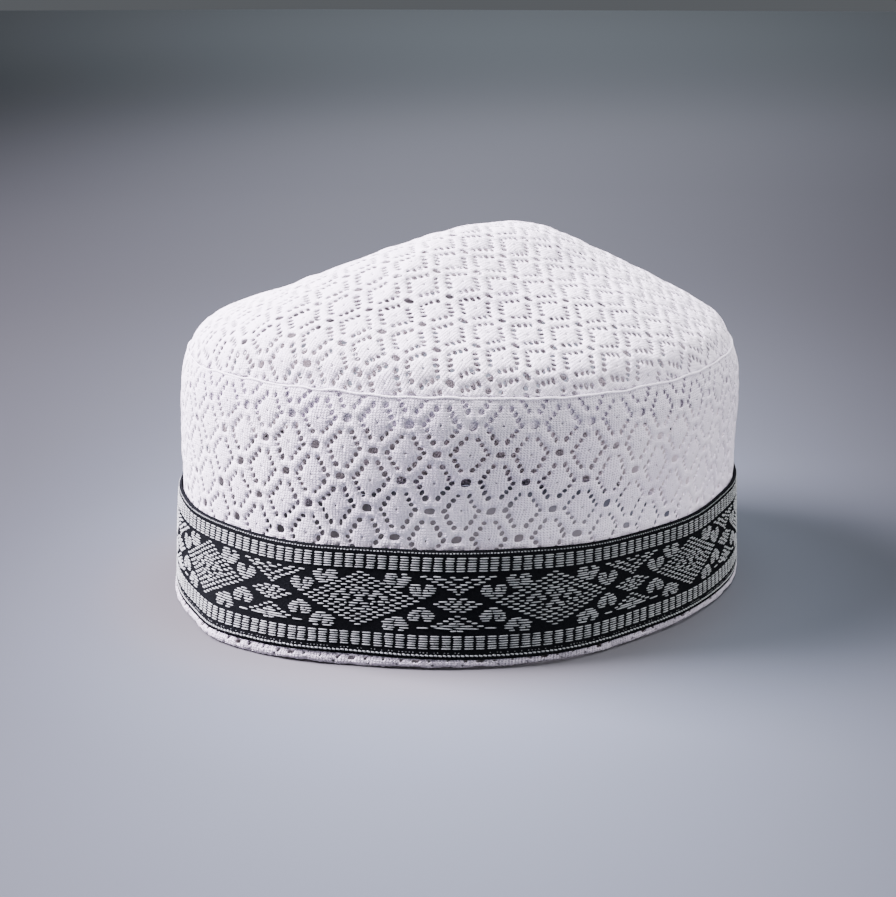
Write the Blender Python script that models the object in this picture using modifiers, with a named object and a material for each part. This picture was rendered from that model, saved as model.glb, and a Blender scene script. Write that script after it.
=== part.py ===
"""Prayer cap: an oval side band of lace cloth, a low soft crown, a rolled seam and a woven ribbon.

The front of the cap faces -Y, its right-hand side is +X, and it stands on its hem at z = 0.
Plan angles are measured round the cap from the front towards +X.
Sizes are in millimetres in the tables and are turned into metres where a vertex is placed.
"""

import math
from collections import namedtuple

import bmesh
import bpy

MM = 0.001
CAP_NAME = "prayer_cap"

# Driving sizes of the cloth and trim
CLOTH_THICKNESS = 1.5
CROWN_THICKNESS = 1.3
RIBBON_THICKNESS = 1.0
GAP = 0.3
BAND_HEIGHT = 74.3
HEM_HEIGHT = 2.2
RIBBON_BOTTOM = 3.1
RIBBON_TOP = 33.3
ALLOWANCE_DEPTH = 8.5
ALLOWANCE_TOP = 75.0
SEAM_RADIUS = 0.6

# The seam and the lace rows ride a little higher at the front and the back
SEAM_WAVE = 1.0

# The cloth is pushed out in a soft nose at the front and the back, near the hem
NOSE_DEPTH = 1.4
NOSE_WIDTH = math.radians(13)
NOSE_HEIGHT = 22.0

# Lace on the side band: large holes where the rows of the lattice cross
LATTICE_COLUMNS = 64
LATTICE_SHEAR = 0.11
LATTICE_SHIFT = 0.48
LACE_ROWS = (59.3, 51.3, 43.4)
LACE_HOLE_WIDTH = 2.6
LACE_HOLE_HEIGHT = 1.9

# The crown rises from the seam to an apex just behind the middle of the cap
SEAM_HEIGHT = 75.0
SEAM_HALF_LENGTH = 89.4
SEAM_HALF_WIDTH = 83.2
APEX_RISE = 34.5
APEX_BACK = 10.0

CROWN_COLUMNS = 64
RIBBON_COLUMNS = 80
SEAM_POINTS = 64

Section = namedtuple("Section", "height half_length half_width")
WALL_SECTIONS = (
    Section(0.0, 96.8, 84.5),
    Section(HEM_HEIGHT, 96.8, 84.5),
    Section(HEM_HEIGHT + 0.6, 95.2, 83.7),
    Section(RIBBON_TOP, 91.3, 83.2),
    Section(45.0, 91.0, 83.4),
    Section(55.0, 90.7, 83.8),
    Section(66.0, 90.1, 83.9),
    Section(71.0, 89.9, 83.7),
    Section(BAND_HEIGHT, 89.4, 83.2),
)

# Height of the crown above the seam along ribs that run from the apex to the seam:
# near the seam, on the slope, half way, and near the apex
Rib = namedtuple("Rib", "plan_angle shoulder slope middle crest")
RIB_REACH = Rib(None, 0.9, 0.75, 0.5, 0.25)
CROWN_RIBS = (
    Rib(0, 13.0, 20.0, 28.5, 32.5),
    Rib(30, 11.0, 18.5, 28.5, 34.5),
    Rib(60, 8.5, 15.0, 24.0, 33.5),
    Rib(90, 8.0, 15.0, 23.0, 32.5),
    Rib(120, 7.5, 14.5, 23.5, 32.0),
    Rib(150, 7.5, 14.5, 24.5, 32.5),
    Rib(180, 7.0, 14.0, 24.5, 31.5),
    Rib(210, 6.0, 13.0, 23.0, 30.5),
    Rib(240, 5.5, 12.5, 21.5, 29.5),
    Rib(270, 5.5, 12.5, 20.5, 29.0),
    Rib(300, 7.0, 13.0, 20.5, 28.5),
    Rib(330, 9.5, 16.5, 23.5, 29.5),
)

# Soft folds on the crown, from one plan point to another, with the height and width of each
Fold = namedtuple("Fold", "start_x start_y end_x end_y height width")
CROWN_FOLDS = (
    Fold(4, -8, 28, -80, 1.2, 5.0),
)

# Rings of the crown between the apex and the seam, as parts of the whole reach
CROWN_RINGS = (0.0, 0.12, 0.25, 0.38, 0.5, 0.63, 0.75, 0.84, 0.91, 0.96, 1.0)

Finish = namedtuple("Finish", "colour roughness")
WHITE_LACE = Finish((0.86, 0.86, 0.87, 1.0), 0.85)
WHITE_SEAM = Finish((0.90, 0.90, 0.91, 1.0), 0.75)
BLACK_RIBBON = Finish((0.018, 0.020, 0.024, 1.0), 0.55)


def clear_scene():
    for item in list(bpy.data.objects):
        bpy.data.objects.remove(item, do_unlink=True)


def make_collection(name):
    collection = bpy.data.collections.new(name)
    bpy.context.scene.collection.children.link(collection)
    return collection


def make_material(name, finish):
    material = bpy.data.materials.new(name)
    material.use_nodes = True
    shader = material.node_tree.nodes["Principled BSDF"]
    shader.inputs["Base Color"].default_value = finish.colour
    shader.inputs["Roughness"].default_value = finish.roughness
    shader.inputs["Metallic"].default_value = 0.0
    return material


def wall_size(height):
    """Half length and half width of the band's outer face at a height."""
    for low, high in zip(WALL_SECTIONS, WALL_SECTIONS[1:]):
        if height <= high.height:
            break
    part = (height - low.height) / (high.height - low.height)
    return (
        low.half_length + part * (high.half_length - low.half_length),
        low.half_width + part * (high.half_width - low.half_width),
    )


def wave(angle, height):
    """How far a level of the cap is lifted at a plan angle."""
    return SEAM_WAVE * math.cos(2 * angle) * height / SEAM_HEIGHT


def nose(angle, height):
    """How far the cloth is pushed out at a plan angle and a height. The hem itself stands upright."""
    turn = math.asin(math.sin(angle))
    above = max(height - HEM_HEIGHT, 0.0)
    return NOSE_DEPTH * math.exp(-((turn / NOSE_WIDTH) ** 2)) * math.exp(-((above / NOSE_HEIGHT) ** 2))


def wall_point(angle, height, outward=0.0):
    """A point of the band's outer face, or of a layer that lies a little outside it."""
    half_length, half_width = wall_size(height)
    push = outward + nose(angle, height)
    return (
        (half_width + push) * math.sin(angle) * MM,
        -(half_length + push) * math.cos(angle) * MM,
        (height + wave(angle, height)) * MM,
    )


def even_angles(half_length, half_width, steps=2880):
    """Plan angles against equal lengths along the oval, as a function of the turn from 0 to 1."""
    lengths = [0.0]
    for step in range(steps):
        angle = 2 * math.pi * (step + 0.5) / steps
        lengths.append(lengths[-1] + math.hypot(half_width * math.cos(angle), half_length * math.sin(angle)))
    total = lengths[-1]

    def angle_at(turn):
        whole = math.floor(turn)
        wanted = (turn - whole) * total
        low, high = 0, steps
        while high - low > 1:
            middle = (low + high) // 2
            if lengths[middle] <= wanted:
                low = middle
            else:
                high = middle
        part = (wanted - lengths[low]) / (lengths[high] - lengths[low])
        return 2 * math.pi * (whole + (low + part) / steps)

    return angle_at, total * 2 * math.pi / steps


def curve_through(stops, values, place):
    """A smooth curve through values at rising stops, read at one place."""
    last = len(stops) - 2
    index = 0
    while index < last and place > stops[index + 1]:
        index += 1
    span = stops[index + 1] - stops[index]
    part = (place - stops[index]) / span

    def slope(at):
        before, after = max(at - 1, 0), min(at + 1, len(stops) - 1)
        return (values[after] - values[before]) / (stops[after] - stops[before]) * span

    square, cube = part * part, part * part * part
    return (
        (2 * cube - 3 * square + 1) * values[index]
        + (cube - 2 * square + part) * slope(index)
        + (3 * square - 2 * cube) * values[index + 1]
        + (cube - square) * slope(index + 1)
    )


def rib_height(rib, opposite, reach):
    """Height along one rib. The curve runs over the apex from the opposite rib, so the top is smooth."""
    stops = (
        -RIB_REACH.middle, -RIB_REACH.crest, 0.0,
        RIB_REACH.crest, RIB_REACH.middle, RIB_REACH.slope, RIB_REACH.shoulder, 1.0,
    )
    values = (opposite.middle, opposite.crest, APEX_RISE, rib.crest, rib.middle, rib.slope, rib.shoulder, 0.0)
    return curve_through(stops, values, reach)


def crown_rise(angle, reach):
    """Height of the crown above the seam, between the ribs as well as on them."""
    count = len(CROWN_RIBS)
    place = (angle / (2 * math.pi) % 1.0) * count
    first = math.floor(place)
    heights = []
    for step in (-1, 0, 1, 2):
        rib = CROWN_RIBS[(first + step) % count]
        opposite = CROWN_RIBS[(first + step + count // 2) % count]
        heights.append(rib_height(rib, opposite, reach))
    return curve_through((-1.0, 0.0, 1.0, 2.0), heights, place - first)


def fold_rise(x, y):
    """Extra height that the soft folds give a plan point."""
    rise = 0.0
    for fold in CROWN_FOLDS:
        run_x, run_y = fold.end_x - fold.start_x, fold.end_y - fold.start_y
        along = ((x - fold.start_x) * run_x + (y - fold.start_y) * run_y) / (run_x ** 2 + run_y ** 2)
        nearest = min(max(along, 0.0), 1.0)
        away = math.hypot(x - fold.start_x - nearest * run_x, y - fold.start_y - nearest * run_y)
        fade = math.sin(math.pi * (0.08 + 0.84 * nearest)) ** 0.5
        rise += fold.height * fade * math.exp(-away / fold.width)
    return rise


def crown_point(angle, reach):
    """A point of the crown's outer face. Reach runs from 0 at the apex to 1 at the seam."""
    x = SEAM_HALF_WIDTH * math.sin(angle) * reach
    y = APEX_BACK + (-SEAM_HALF_LENGTH * math.cos(angle) - APEX_BACK) * reach
    base = SEAM_HEIGHT + wave(angle, SEAM_HEIGHT) * reach ** 2
    return x, y, base + crown_rise(angle, reach) + fold_rise(x, y) * (1 - reach ** 8)


def bent_grid(columns, rows, is_open, place):
    """A flat grid, cut where is_open says so, bent by place and closed round into a ring."""
    mesh = bmesh.new()
    bmesh.ops.create_grid(mesh, x_segments=columns, y_segments=rows, size=0.5)

    def cell(position):
        return (position.x + 0.5) * columns, (position.y + 0.5) * rows

    holes = []
    for face in mesh.faces:
        column, row = cell(face.calc_center_median())
        if is_open(math.floor(column), math.floor(row)):
            holes.append(face)
    bmesh.ops.delete(mesh, geom=holes, context="FACES")
    for vertex in mesh.verts:
        column, row = cell(vertex.co)
        vertex.co = place(round(column), round(row))
    bmesh.ops.remove_doubles(mesh, verts=mesh.verts, dist=0.00001)
    return mesh


def make_shell(collection, name, mesh, thickness, finish):
    """An object from an open surface, thickened inwards from its outer face."""
    data = bpy.data.meshes.new(name)
    mesh.to_mesh(data)
    mesh.free()
    data.shade_smooth()
    item = bpy.data.objects.new(name, data)
    collection.objects.link(item)
    shell = item.modifiers.new("cloth", "SOLIDIFY")
    shell.thickness = thickness * MM
    shell.offset = -1.0
    shell.use_even_offset = True
    item.data.materials.append(make_material(name, finish))
    return item


def never_open(column, row):
    return False


def make_side_band(collection):
    """The lace wall, with a thick folded hem and a large hole at each crossing of its lattice."""
    half_length, half_width = wall_size(LACE_ROWS[0])
    angle_at, girth = even_angles(half_length, half_width)
    pitch = girth / LATTICE_COLUMNS
    levels = [0.0, HEM_HEIGHT, HEM_HEIGHT + 0.6, RIBBON_TOP]
    hole_rows = {}
    for lace_row in reversed(range(len(LACE_ROWS))):
        hole_rows[len(levels)] = lace_row
        levels += [LACE_ROWS[lace_row] - LACE_HOLE_HEIGHT / 2, LACE_ROWS[lace_row] + LACE_HOLE_HEIGHT / 2]
    levels += [66.0, 71.0, BAND_HEIGHT]

    def is_open(column, row):
        lace_row = hole_rows.get(row)
        return lace_row is not None and column % 2 == 0 and (column // 2 + lace_row) % 2 == 0

    def place(column, row):
        height = levels[row]
        side = -0.5 if column % 2 == 0 else 0.5
        along = (column // 2 + LATTICE_SHIFT) * pitch + side * LACE_HOLE_WIDTH
        along += LATTICE_SHEAR * (height - LACE_ROWS[0])
        return wall_point(angle_at(along / girth), height)

    mesh = bent_grid(2 * LATTICE_COLUMNS, len(levels) - 1, is_open, place)
    return make_shell(collection, "side_band", mesh, CLOTH_THICKNESS, WHITE_LACE)


def make_ribbon(collection):
    """The woven ribbon, closed round the band just above the hem."""
    levels = (RIBBON_BOTTOM, (RIBBON_BOTTOM + RIBBON_TOP) / 2, RIBBON_TOP)
    angle_at, _ = even_angles(*wall_size(RIBBON_BOTTOM))

    def place(column, row):
        return wall_point(angle_at(column / RIBBON_COLUMNS), levels[row], GAP + RIBBON_THICKNESS)

    mesh = bent_grid(RIBBON_COLUMNS, len(levels) - 1, never_open, place)
    return make_shell(collection, "ribbon_trim", mesh, RIBBON_THICKNESS, BLACK_RIBBON)


def make_crown(collection):
    """The domed top, from its edge just inside the top of the band to the apex."""
    _, half_width = wall_size(BAND_HEIGHT)
    edge_reach = (half_width - CLOTH_THICKNESS - GAP) / SEAM_HALF_WIDTH
    angle_at, _ = even_angles(SEAM_HALF_LENGTH, SEAM_HALF_WIDTH)

    def place(column, row):
        reach = CROWN_RINGS[-1 - row] * edge_reach
        x, y, z = crown_point(angle_at(column / CROWN_COLUMNS), reach)
        return x * MM, y * MM, z * MM

    mesh = bent_grid(CROWN_COLUMNS, len(CROWN_RINGS) - 1, never_open, place)
    return make_shell(collection, "crown", mesh, CROWN_THICKNESS, WHITE_LACE)


def make_allowance(collection):
    """The crown's cloth turned down inside the band, which doubles the top of the band."""
    levels = (BAND_HEIGHT - ALLOWANCE_DEPTH, ALLOWANCE_TOP)
    inset = CLOTH_THICKNESS + GAP
    half_length, half_width = wall_size(BAND_HEIGHT)
    angle_at, _ = even_angles(half_length, half_width)

    def place(column, row):
        angle = angle_at(column / CROWN_COLUMNS)
        return (
            (half_width - inset) * math.sin(angle) * MM,
            -(half_length - inset) * math.cos(angle) * MM,
            (levels[row] + wave(angle, levels[row])) * MM,
        )

    mesh = bent_grid(CROWN_COLUMNS, len(levels) - 1, never_open, place)
    return make_shell(collection, "seam_allowance", mesh, CROWN_THICKNESS, WHITE_LACE)


def make_seam(collection):
    """The rolled seam that rides on the top edge of the band, close against the crown."""
    half_length, half_width = wall_size(BAND_HEIGHT)
    inset = CLOTH_THICKNESS / 2
    level = BAND_HEIGHT + GAP + SEAM_RADIUS
    angle_at, _ = even_angles(half_length, half_width)
    curve = bpy.data.curves.new("seam_roll", "CURVE")
    curve.dimensions = "3D"
    curve.bevel_depth = SEAM_RADIUS * MM
    curve.bevel_resolution = 1
    spline = curve.splines.new("POLY")
    spline.points.add(SEAM_POINTS - 1)
    for index, point in enumerate(spline.points):
        angle = angle_at(index / SEAM_POINTS)
        x = (half_width - inset) * math.sin(angle)
        y = -(half_length - inset) * math.cos(angle)
        point.co = (x * MM, y * MM, (level + wave(angle, SEAM_HEIGHT)) * MM, 1.0)
    spline.use_cyclic_u = True
    spline.use_smooth = True
    curve.materials.append(make_material("seam_roll", WHITE_SEAM))
    item = bpy.data.objects.new("seam_roll", curve)
    collection.objects.link(item)
    return item


def main():
    clear_scene()
    collection = make_collection(CAP_NAME)
    cap = bpy.data.objects.new(CAP_NAME, None)
    collection.objects.link(cap)
    for make in (make_side_band, make_crown, make_allowance, make_seam, make_ribbon):
        make(collection).parent = cap


main()
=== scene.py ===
"""A soft prayer cap: lace side band and crown, rolled seam, folded hem and a woven ribbon.

The front of the cap faces -Y and it stands on its hem at z = 0. Sizes are in millimetres until a mesh is
made. Plan angles run round the cap from the front towards +X.
"""

import math
from collections import namedtuple

import bmesh
import bpy
import numpy as np
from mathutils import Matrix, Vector
from mathutils.geometry import delaunay_2d_cdt


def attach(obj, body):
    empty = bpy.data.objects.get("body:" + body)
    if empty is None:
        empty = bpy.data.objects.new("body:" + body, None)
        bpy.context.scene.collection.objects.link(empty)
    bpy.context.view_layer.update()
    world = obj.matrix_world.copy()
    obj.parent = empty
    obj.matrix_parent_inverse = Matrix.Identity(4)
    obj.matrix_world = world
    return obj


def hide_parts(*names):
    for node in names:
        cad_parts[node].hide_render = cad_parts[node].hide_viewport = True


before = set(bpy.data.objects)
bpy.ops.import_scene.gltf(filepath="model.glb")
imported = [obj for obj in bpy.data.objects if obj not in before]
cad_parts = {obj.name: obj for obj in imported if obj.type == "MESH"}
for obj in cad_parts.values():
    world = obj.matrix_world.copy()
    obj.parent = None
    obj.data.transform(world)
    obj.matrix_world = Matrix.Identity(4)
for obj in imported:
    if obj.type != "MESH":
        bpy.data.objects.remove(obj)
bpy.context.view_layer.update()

MM = 0.001

# Sizes shared with the solids
HEM_HEIGHT = 2.2
RIBBON_BOTTOM = 2.65
RIBBON_TOP = 33.0
SEAM_HEIGHT = 74.2
SEAM_HALF_LENGTH = 87.9
SEAM_HALF_WIDTH = 81.7
SEAM_WAVE = 1.0
APEX_RISE = 34.8
APEX_BACK = 10.0
LACE_THICKNESS = 0.5

Section = namedtuple("Section", "height half_length half_width")
WALL_SECTIONS = (
    Section(0.0, 96.8, 84.5),
    Section(HEM_HEIGHT, 96.8, 84.5),
    Section(HEM_HEIGHT + 0.6, 95.2, 83.7),
    Section(RIBBON_TOP, 91.3, 83.2),
    Section(45.0, 91.0, 83.4),
    Section(55.0, 90.7, 83.8),
    Section(62.0, 90.3, 83.9),
    Section(66.0, 90.0, 83.6),
    Section(69.5, 89.4, 83.1),
    Section(72.3, 88.7, 82.5),
    Section(SEAM_HEIGHT, SEAM_HALF_LENGTH, SEAM_HALF_WIDTH),
)

# Places where the cloth near the hem is pushed out or in, fading with height
Bulge = namedtuple("Bulge", "plan_angle depth width")
HEM_BULGES = (Bulge(-0.13, 1.7, 0.13), Bulge(0.43, -1.0, 0.15), Bulge(1.0, 2.4, 0.22))
END_BULGE = Bulge(0.0, 1.4, math.radians(13))
BULGE_HEIGHT = 22.0

# Heights above the seam at four places along a rib of the crown, and how far out each place lies
Rib = namedtuple("Rib", "shoulder slope middle crest")
RIB_REACH = Rib(0.9, 0.75, 0.5, 0.25)
RIM_REACH = 0.965
RIM_SHARE = 0.58
# One rib every 30 degrees of the plan, from the front towards +X
CROWN_RIBS = np.array([
    Rib(14.2, 21.0, 29.3, 33.3), Rib(12.1, 19.5, 29.5, 35.6), Rib(9.9, 16.3, 25.3, 35.1),
    Rib(9.9, 16.2, 24.6, 34.5), Rib(9.4, 15.7, 25.1, 34.1), Rib(9.4, 15.9, 26.1, 34.3),
    Rib(8.8, 15.6, 26.1, 33.3), Rib(7.8, 14.3, 24.2, 31.7), Rib(7.5, 13.8, 22.6, 30.4),
    Rib(7.2, 13.0, 21.4, 29.8), Rib(8.4, 13.4, 21.3, 29.3), Rib(10.7, 17.1, 24.3, 30.3),
])
Fold = namedtuple("Fold", "start_x start_y end_x end_y height width")
CROWN_FOLD = Fold(4, -8, 28, -80, 1.2, 5.0)
FOLD_END = 0.08

# Soft unevenness: how deep it is, how far apart its bumps are, and its seed
Ripple = namedtuple("Ripple", "depth size seed")
RIPPLE_WAVES = 7
RIPPLE_LEVEL = 3.2
RIPPLE_SPREAD = (0.6, 1.7)
SWAY = (Ripple(0.45, 60, 3), Ripple(0.45, 60, 4), Ripple(0.45, 50, 5))
SWAY_FOOT = 25.0
BAND_DRIFT = (Ripple(0.30, 9, 21), Ripple(0.28, 8, 22))
BAND_PUCKER = Ripple(0.16, 13, 23)
CROWN_DRIFT = (Ripple(0.30, 9, 31), Ripple(0.30, 9, 32))
CROWN_PUCKER = Ripple(0.18, 13, 33)
SEAM_WANDER = Ripple(0.30, 11, 41)
SEAM_SWELL = Ripple(0.05, 4.0, 42)
HEM_RISE = (Ripple(0.28, 26, 51), Ripple(0.16, 7, 52))
HEM_PUCKER = Ripple(0.14, 6, 53)
RIBBON_PUCKER = Ripple(0.12, 30, 61)


def unevenness(points, ripple):
    """Soft unevenness over points, mostly within the ripple's depth."""
    chance = np.random.default_rng(ripple.seed)
    total = np.zeros(len(points))
    for _ in range(RIPPLE_WAVES):
        direction = chance.normal(size=3)
        size = ripple.size * chance.uniform(*RIPPLE_SPREAD)
        direction *= 2 * np.pi / (size * np.linalg.norm(direction))
        total += np.sin(points @ direction + chance.uniform(0, 2 * np.pi))
    return ripple.depth * (total / RIPPLE_LEVEL)


def loosen(points):
    """The soft, uneven way that the whole cap stands. Every layer takes it, so none runs into the next."""
    shift = np.stack([unevenness(points, ripple) for ripple in SWAY], axis=1)
    shift[:, 2] *= np.clip(points[:, 2] / SWAY_FOOT, 0.0, 1.0)
    return points + shift


def wall_size(height):
    """Half length and half width of the band's outer face at a height."""
    heights, half_lengths, half_widths = zip(*WALL_SECTIONS)
    return np.interp(height, heights, half_lengths), np.interp(height, heights, half_widths)


def wave(angle, height):
    """How far a level of the cap is lifted at a plan angle."""
    return SEAM_WAVE * np.cos(2 * angle) * height / SEAM_HEIGHT


def bulge_push(away, bulge):
    return bulge.depth * np.exp(-((away / bulge.width) ** 2))


def bulging(angle, height):
    """How far the cloth is pushed out at a plan angle and a height."""
    push = bulge_push(np.arcsin(np.sin(angle)), END_BULGE)
    for bulge in HEM_BULGES:
        away = (angle - bulge.plan_angle + np.pi) % (2 * np.pi) - np.pi
        push = push + bulge_push(away, bulge)
    above = np.maximum(height - HEM_HEIGHT, 0.0)
    return push * np.exp(-((above / BULGE_HEIGHT) ** 2))


def wall_place(angle, height, outward=0.0):
    """Points on the band's outer face, or on a layer that lies a little outside it."""
    half_length, half_width = wall_size(height)
    push = outward + bulging(angle, height)
    return np.stack(np.broadcast_arrays(
        (half_width + push) * np.sin(angle),
        -(half_length + push) * np.cos(angle),
        height + wave(angle, height),
    ), axis=-1)


class Oval:
    """An oval of the cap's plan, walked from the front towards +X."""

    def __init__(self, half_length, half_width, steps=2880):
        middles = 2 * np.pi * (np.arange(steps) + 0.5) / steps
        pieces = np.hypot(half_width * np.cos(middles), half_length * np.sin(middles)) * 2 * np.pi / steps
        self.lengths = np.concatenate([[0.0], np.cumsum(pieces)])
        self.angles = np.linspace(0, 2 * np.pi, steps + 1)
        self.girth = self.lengths[-1]

    def angle(self, along):
        laps = np.floor(along / self.girth)
        return 2 * np.pi * laps + np.interp(along - laps * self.girth, self.lengths, self.angles)


def curve_through(stops, values, place):
    """A smooth curve through rows of values at rising stops, read at one place for each column."""
    stops = np.asarray(stops)
    values = np.asarray(values)
    last = len(stops) - 1
    index = np.clip(np.searchsorted(stops, place, side="right") - 1, 0, last - 1)
    column = np.arange(len(place))
    span = stops[index + 1] - stops[index]
    part = (place - stops[index]) / span

    def slope(at):
        before = np.maximum(at - 1, 0)
        after = np.minimum(at + 1, last)
        return (values[after, column] - values[before, column]) / (stops[after] - stops[before]) * span

    square = part * part
    cube = square * part
    return (
        (2 * cube - 3 * square + 1) * values[index, column]
        + (cube - 2 * square + part) * slope(index)
        + (3 * square - 2 * cube) * values[index + 1, column]
        + (cube - square) * slope(index + 1)
    )


def crown_rise(angle, reach):
    """Height of the crown above the seam. Each rib's curve runs over the apex from the opposite rib."""
    count = len(CROWN_RIBS)
    place = (angle / (2 * np.pi) % 1.0) * count
    first = np.floor(place).astype(int)
    stops = (
        -RIB_REACH.middle, -RIB_REACH.crest, 0.0,
        RIB_REACH.crest, RIB_REACH.middle, RIB_REACH.slope, RIB_REACH.shoulder, RIM_REACH, 1.0,
    )
    heights = []
    for step in (-1, 0, 1, 2):
        shoulder, slope, middle, crest = CROWN_RIBS[(first + step) % count].T
        _, _, far_middle, far_crest = CROWN_RIBS[(first + step + count // 2) % count].T
        apex = np.full(len(place), APEX_RISE)
        rim = RIM_SHARE * shoulder
        values = (far_middle, far_crest, apex, crest, middle, slope, shoulder, rim, 0 * apex)
        heights.append(curve_through(stops, values, reach))
    return curve_through((-1.0, 0.0, 1.0, 2.0), heights, place - first)


def fold_rise(x, y, fold):
    """Extra height that a soft fold gives plan points."""
    run_x, run_y = fold.end_x - fold.start_x, fold.end_y - fold.start_y
    along = ((x - fold.start_x) * run_x + (y - fold.start_y) * run_y) / (run_x ** 2 + run_y ** 2)
    nearest = np.clip(along, 0.0, 1.0)
    away = np.hypot(x - fold.start_x - nearest * run_x, y - fold.start_y - nearest * run_y)
    fade = np.sin(np.pi * (FOLD_END + (1 - 2 * FOLD_END) * nearest)) ** 0.5
    return fold.height * fade * np.exp(-away / fold.width)


def crown_place(angle, reach):
    """Points on the crown's outer face. Reach runs from 0 at the apex to 1 at the seam."""
    x = SEAM_HALF_WIDTH * np.sin(angle) * reach
    y = APEX_BACK + (-SEAM_HALF_LENGTH * np.cos(angle) - APEX_BACK) * reach
    base = SEAM_HEIGHT + wave(angle, SEAM_HEIGHT) * reach ** 2
    z = base + crown_rise(angle, reach) + fold_rise(x, y, CROWN_FOLD) * (1 - reach ** 8)
    return np.stack([x, y, z], axis=-1)


class FlatCrown:
    """The crown's cloth laid flat: where each length and direction from the apex lies on the crown."""

    def __init__(self, columns=360, rings=80):
        angles = np.linspace(0, 2 * np.pi, columns + 1)
        reaches = np.linspace(0, 1, rings + 1)
        grid_angle, grid_reach = np.meshgrid(angles, reaches, indexing="ij")
        places = crown_place(grid_angle.ravel(), grid_reach.ravel()).reshape(columns + 1, rings + 1, 3)
        steps = np.linalg.norm(np.diff(places, axis=1), axis=2)
        lengths = np.concatenate([np.zeros((columns + 1, 1)), np.cumsum(steps, axis=1)], axis=1)
        self.angles = angles
        self.limits = lengths[:, -1]
        self.parts = reaches
        self.reaches = np.array([np.interp(self.parts, row / row[-1], reaches) for row in lengths])
        edge_x = SEAM_HALF_WIDTH * np.sin(angles)
        edge_y = SEAM_HALF_LENGTH * np.cos(angles) + APEX_BACK
        self.bearings = np.unwrap(np.arctan2(edge_x, edge_y))

    def where(self, flat):
        """Plan angle of each flat point, and how far out it is as a part of the cloth's length there."""
        bearing = np.arctan2(flat[:, 0], -flat[:, 1]) % (2 * np.pi)
        angle = np.interp(bearing, self.bearings, self.angles)
        limit = np.interp(angle, self.angles, self.limits)
        return angle, np.hypot(flat[:, 0], flat[:, 1]) / limit

    def place(self, flat):
        """Points on the crown for flat points."""
        angle, part = self.where(flat)
        column = angle / (2 * np.pi) * (len(self.angles) - 1)
        left = np.clip(np.floor(column).astype(int), 0, len(self.angles) - 2)
        row = np.clip(part, 0, 1.05) * (len(self.parts) - 1)
        low = np.clip(np.floor(row).astype(int), 0, len(self.parts) - 2)
        across, down = column - left, row - low
        near = self.reaches[left, low] * (1 - down) + self.reaches[left, low + 1] * down
        far = self.reaches[left + 1, low] * (1 - down) + self.reaches[left + 1, low + 1] * down
        return crown_place(angle, near * (1 - across) + far * across)


# Meshes


def add_object(name, data):
    item = bpy.data.objects.new(name, data)
    bpy.context.scene.collection.objects.link(item)
    return item


def make_object(name, points, faces, uvs=None, material=None):
    """An object from points in millimetres. Each face's corners may bring a place on the flat cloth."""
    mesh = bpy.data.meshes.new(name)
    mesh.from_pydata((points * MM).tolist(), [], [list(map(int, face)) for face in faces])
    if uvs is not None:
        layer = mesh.uv_layers.new(name="flat_cloth")
        layer.data.foreach_set("uv", (np.asarray(uvs) * MM).astype(np.float32).ravel())
    mesh.shade_smooth()
    if material is not None:
        mesh.materials.append(material)
    return add_object(name, mesh)


def close_joins(item, meet=0.01, collapse=0.002):
    """Weld points that meet, and drop edges with no length."""
    welded = bmesh.new()
    welded.from_mesh(item.data)
    bmesh.ops.remove_doubles(welded, verts=welded.verts, dist=meet * MM)
    bmesh.ops.dissolve_degenerate(welded, edges=welded.edges, dist=collapse * MM)
    welded.to_mesh(item.data)
    welded.free()
    item.data.shade_smooth()
    return item


def finished_mesh(item):
    """The plain mesh that an object's modifiers make."""
    bpy.context.view_layer.update()
    ready = item.evaluated_get(bpy.context.evaluated_depsgraph_get())
    return bpy.data.meshes.new_from_object(ready)


def thicken(item, thickness):
    """Give an open cloth its thickness, inwards from its outer face, and mark its inner side, where the
    white cloth paints shade.
    """
    shell = item.modifiers.new("cloth", "SOLIDIFY")
    shell.thickness = thickness * MM
    shell.offset = -1.0
    shell.use_even_offset = False
    outer = len(item.data.vertices)
    mesh = finished_mesh(item)
    mesh.name = item.name
    item.modifiers.clear()
    inner_side = (np.arange(len(mesh.vertices)) >= outer).astype(float)
    mesh.attributes.new("inner_side", "FLOAT", "POINT").data.foreach_set("value", inner_side)
    item.data = mesh
    return item


def ring_mesh(name, columns, rows, place, closed_rows=False, material=None, size=(1.0, 1.0)):
    """Rows of quads closed round the cap. place takes turns and row parts, both from 0 to 1."""
    levels = np.arange(rows) / rows if closed_rows else np.linspace(0, 1, rows + 1)
    grid_level, grid_turn = np.meshgrid(levels, np.arange(columns) / columns, indexing="ij")
    points = place(grid_turn.ravel(), grid_level.ravel())
    faces = []
    uvs = []
    for row in range(rows):
        for column in range(columns):
            corners = [(column + u, row + v) for u, v in ((0, 0), (1, 0), (1, 1), (0, 1))]
            faces.append([v % len(levels) * columns + u % columns for u, v in corners])
            uvs += [(u / columns * size[0], v / rows * size[1]) for u, v in corners]
    return make_object(name, points, faces, uvs, material)


# Node trees


def new_group(kind, name, inputs, outputs):
    """A node group with named inputs, each with its value, and named outputs."""
    tree = bpy.data.node_groups.new(name, kind)
    for label, (socket_type, value) in inputs.items():
        socket = tree.interface.new_socket(label, in_out="INPUT", socket_type=socket_type)
        if value is not None:
            socket.default_value = value
    for label, socket_type in outputs.items():
        tree.interface.new_socket(label, in_out="OUTPUT", socket_type=socket_type)
    return tree, tree.nodes.new("NodeGroupInput").outputs, tree.nodes.new("NodeGroupOutput").inputs


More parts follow.
